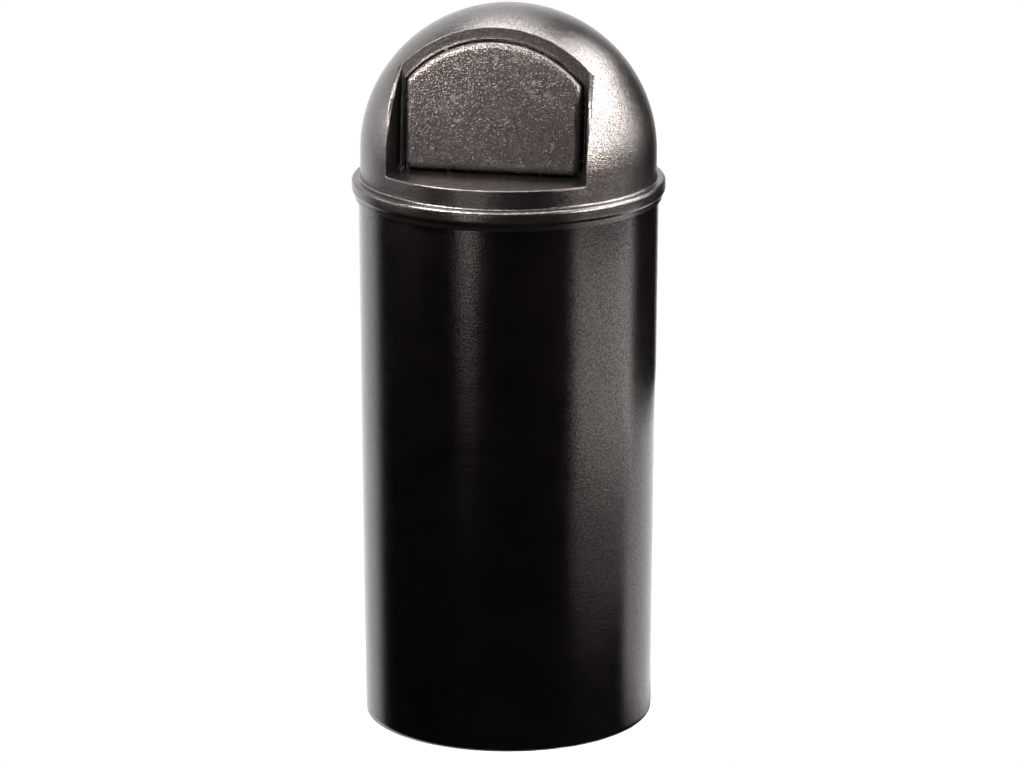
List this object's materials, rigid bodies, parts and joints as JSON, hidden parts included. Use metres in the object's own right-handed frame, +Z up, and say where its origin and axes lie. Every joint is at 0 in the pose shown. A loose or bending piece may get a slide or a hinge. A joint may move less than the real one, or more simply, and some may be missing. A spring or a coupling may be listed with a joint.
{
  "type": "dome top waste receptacle",
  "caption": "Tall round black plastic waste receptacle with a lift-off domed lid and a spring-closed push door set in an arched recess of the dome",
  "frame": {"origin": "Bottom centre of the foot ring, on the floor, on the receptacle's upright axis", "axes": "+Z up along the receptacle's axis; the push door faces -Y; +X is to the right of someone who faces the door"},
  "size_m": [0.4572, 0.4572, 1.0667],
  "materials": {
    "body_plastic": "smooth black polyethylene with a soft gloss",
    "lid_plastic": "black polyethylene with a fine moulded pebble grain and a semi-gloss",
    "hinge_steel": "plain zinc-plated steel",
    "bumper_rubber": "matte black rubber"
  },
  "bodies": {
    "container": {"container_body": "body_plastic"},
    "lid": {"dome_lid": "lid_plastic", "hinge_rod": "hinge_steel", "hinge_bracket_left": "hinge_steel", "bracket_screw_inner_left": "hinge_steel", "bracket_screw_outer_left": "hinge_steel", "door_spring_left": "hinge_steel", "push_nut_left": "hinge_steel", "hinge_bracket_right": "hinge_steel", "bracket_screw_inner_right": "hinge_steel", "bracket_screw_outer_right": "hinge_steel", "door_spring_right": "hinge_steel", "push_nut_right": "hinge_steel"},
    "door": {"push_door": "lid_plastic", "door_back_plate": "body_plastic", "hinge_leaf": "hinge_steel", "door_rivet_lower_left": "hinge_steel", "door_rivet_lower_right": "hinge_steel", "door_rivet_upper_left": "hinge_steel", "door_rivet_upper_right": "hinge_steel", "door_rivet_foot_left": "hinge_steel", "door_rivet_foot_right": "hinge_steel", "door_rivet_arch_left": "hinge_steel", "door_rivet_arch_right": "hinge_steel", "leaf_rivet_left": "hinge_steel", "leaf_rivet_middle": "hinge_steel", "leaf_rivet_right": "hinge_steel", "bumper_upper_left": "bumper_rubber", "bumper_upper_right": "bumper_rubber", "bumper_lower_left": "bumper_rubber", "bumper_lower_right": "bumper_rubber"}
  },
  "joints": [
    {"name": "lid_lift", "type": "slide", "parent": "container", "child": "lid", "axis": [0, 0, 1], "range_m": [0, 0.2]},
    {"name": "door_swing", "type": "hinge", "parent": "lid", "child": "door", "pos_m": [0, -0.06779, 1.0369], "axis": [1, 0, 0], "range_deg": [0, 75], "stiffness_Nm_per_rad": 0.6, "springref_deg": -20.05, "deforming": ["door_spring_left", "door_spring_right"]}
  ]
}
